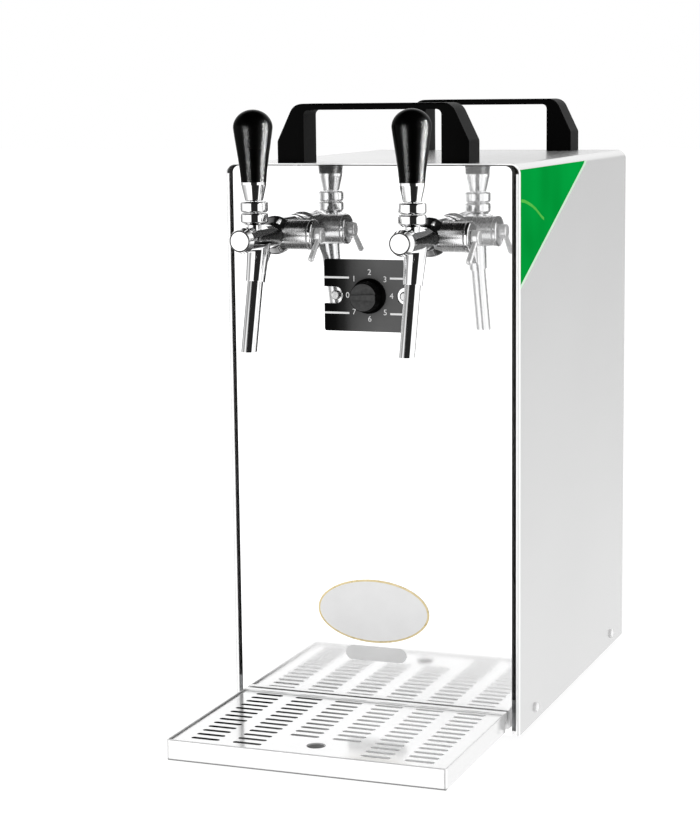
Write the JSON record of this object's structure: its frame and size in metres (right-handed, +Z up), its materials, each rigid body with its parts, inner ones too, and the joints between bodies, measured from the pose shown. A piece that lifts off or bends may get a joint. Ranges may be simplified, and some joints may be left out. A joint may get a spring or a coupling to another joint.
{
  "type": "draft beer dispenser",
  "caption": "Countertop steel beer cooler with lever taps and side flow regulators, thermostat dial, carry handles and a slotted drip tray.",
  "frame": {"origin": "centre of the overall box's underside, on the counter", "axes": "+Z up, +X to the right seen from the front, -Y towards the taps and the person pouring"},
  "size_m": [0.2548, 0.521, 0.5135],
  "materials": {
    "satin_steel": "satin brushed stainless steel",
    "mirror_steel": "polished stainless steel",
    "sheet_steel": "plain galvanised sheet",
    "zinc_steel": "zinc plated",
    "rubber": "matte",
    "matte_black": "fine-textured moulding",
    "gloss_black": "gloss",
    "white_plastic": "smooth",
    "foam": "cut foam",
    "aluminium": "machined",
    "painted_steel": "black enamel",
    "copper": "drawn copper tube",
    "chrome": "polished chrome plate",
    "brass": "turned"
  },
  "bodies": {
    "cabinet": {"outer_cover": "satin_steel", "front_panel": "mirror_steel", "base_pan": "sheet_steel", "rear_panel": "sheet_steel", "block_shelf": "sheet_steel", "cabinet_screws": "zinc_steel", "handle_screws": "zinc_steel", "plate_screws": "zinc_steel", "feet": "rubber", "compressor_grommets": "rubber", "tray_rail": "matte_black", "front_handle": "matte_black", "rear_handle": "matte_black", "beer_inlets": "matte_black", "inlet_nuts": "matte_black", "cable_gland": "matte_black", "fan_shroud": "matte_black", "thermostat_plate": "gloss_black", "thermostat": "white_plastic", "outlet_lines": "white_plastic", "inlet_lines": "white_plastic", "block_insulation": "foam", "cooling_block": "aluminium", "condenser": "aluminium", "compressor": "painted_steel", "fan_motor": "painted_steel", "filter_dryer": "copper", "hot_gas_pipe": "copper", "liquid_pipe": "copper", "capillary_pipe": "copper", "suction_pipe": "copper", "tap_shanks": "chrome", "shank_nuts": "chrome", "coupling_nuts": "chrome", "tap_bodies": "chrome", "front_caps": "chrome", "spouts": "chrome", "regulator_caps": "chrome"},
    "dial": {"thermostat_spindle": "zinc_steel", "thermostat_knob": "gloss_black"},
    "tray": {"drip_tray": "mirror_steel"},
    "grate": {"drip_grate": "mirror_steel"},
    "fan": {"fan_rotor": "matte_black"},
    "left_lever": {"left_lever_stem": "chrome", "left_lever_nuts": "chrome", "left_ferrule": "chrome", "left_knob": "gloss_black"},
    "left_valve": {"left_plunger": "brass"},
    "left_regulator": {"left_regulator_lever": "chrome", "left_regulator_spindle": "chrome"},
    "left_flow_cone": {"left_regulator_cone": "white_plastic"},
    "right_lever": {"right_lever_stem": "chrome", "right_lever_nuts": "chrome", "right_ferrule": "chrome", "right_knob": "gloss_black"},
    "right_valve": {"right_plunger": "brass"},
    "right_regulator": {"right_regulator_lever": "chrome", "right_regulator_spindle": "chrome"},
    "right_flow_cone": {"right_regulator_cone": "white_plastic"}
  },
  "joints": [
    {"name": "left_lever_tilt", "type": "hinge", "parent": "cabinet", "child": "left_lever", "pos_m": [-0.0648, -0.185, 0.4205], "axis": [1, 0, 0], "range_deg": [0, 25]},
    {"name": "left_valve_slide", "type": "slide", "parent": "cabinet", "child": "left_valve", "axis": [0, 1, 0], "range_m": [0, 0.00235]},
    {"name": "left_regulator_turn", "type": "hinge", "parent": "cabinet", "child": "left_regulator", "pos_m": [-0.0648, -0.14, 0.411], "axis": [1, 0, 0], "range_deg": [-45, 45]},
    {"name": "left_cone_slide", "type": "slide", "parent": "cabinet", "child": "left_flow_cone", "axis": [0, 1, 0], "range_m": [-0.0019, 0.0019]},
    {"name": "right_lever_tilt", "type": "hinge", "parent": "cabinet", "child": "right_lever", "pos_m": [0.0648, -0.185, 0.4205], "axis": [1, 0, 0], "range_deg": [0, 25]},
    {"name": "right_valve_slide", "type": "slide", "parent": "cabinet", "child": "right_valve", "axis": [0, 1, 0], "range_m": [0, 0.00235]},
    {"name": "right_regulator_turn", "type": "hinge", "parent": "cabinet", "child": "right_regulator", "pos_m": [0.0648, -0.14, 0.411], "axis": [1, 0, 0], "range_deg": [-45, 45]},
    {"name": "right_cone_slide", "type": "slide", "parent": "cabinet", "child": "right_flow_cone", "axis": [0, 1, 0], "range_m": [-0.0019, 0.0019]},
    {"name": "dial_turn", "type": "hinge", "parent": "cabinet", "child": "dial", "pos_m": [0, -0.1035, 0.3605], "axis": [0, 1, 0], "range_deg": [0, 315]},
    {"name": "tray_lift", "type": "slide", "parent": "cabinet", "child": "tray", "axis": [0, 0, 1], "range_m": [0, 0.1]},
    {"name": "grate_lift", "type": "slide", "parent": "tray", "child": "grate", "axis": [0, 0, 1], "range_m": [0, 0.08]},
    {"name": "fan_spin", "type": "hinge", "parent": "cabinet", "child": "fan", "pos_m": [0, 0.1665, 0.098], "axis": [0, 1, 0], "continuous": true}
  ],
  "couplings": [
    {"joint": "left_valve_slide", "follows": "left_lever_tilt", "m_per_rad": 0.0053},
    {"joint": "left_cone_slide", "follows": "left_regulator_turn", "m_per_rad": 0.00235},
    {"joint": "right_valve_slide", "follows": "right_lever_tilt", "m_per_rad": 0.0053},
    {"joint": "right_cone_slide", "follows": "right_regulator_turn", "m_per_rad": 0.00235}
  ]
}
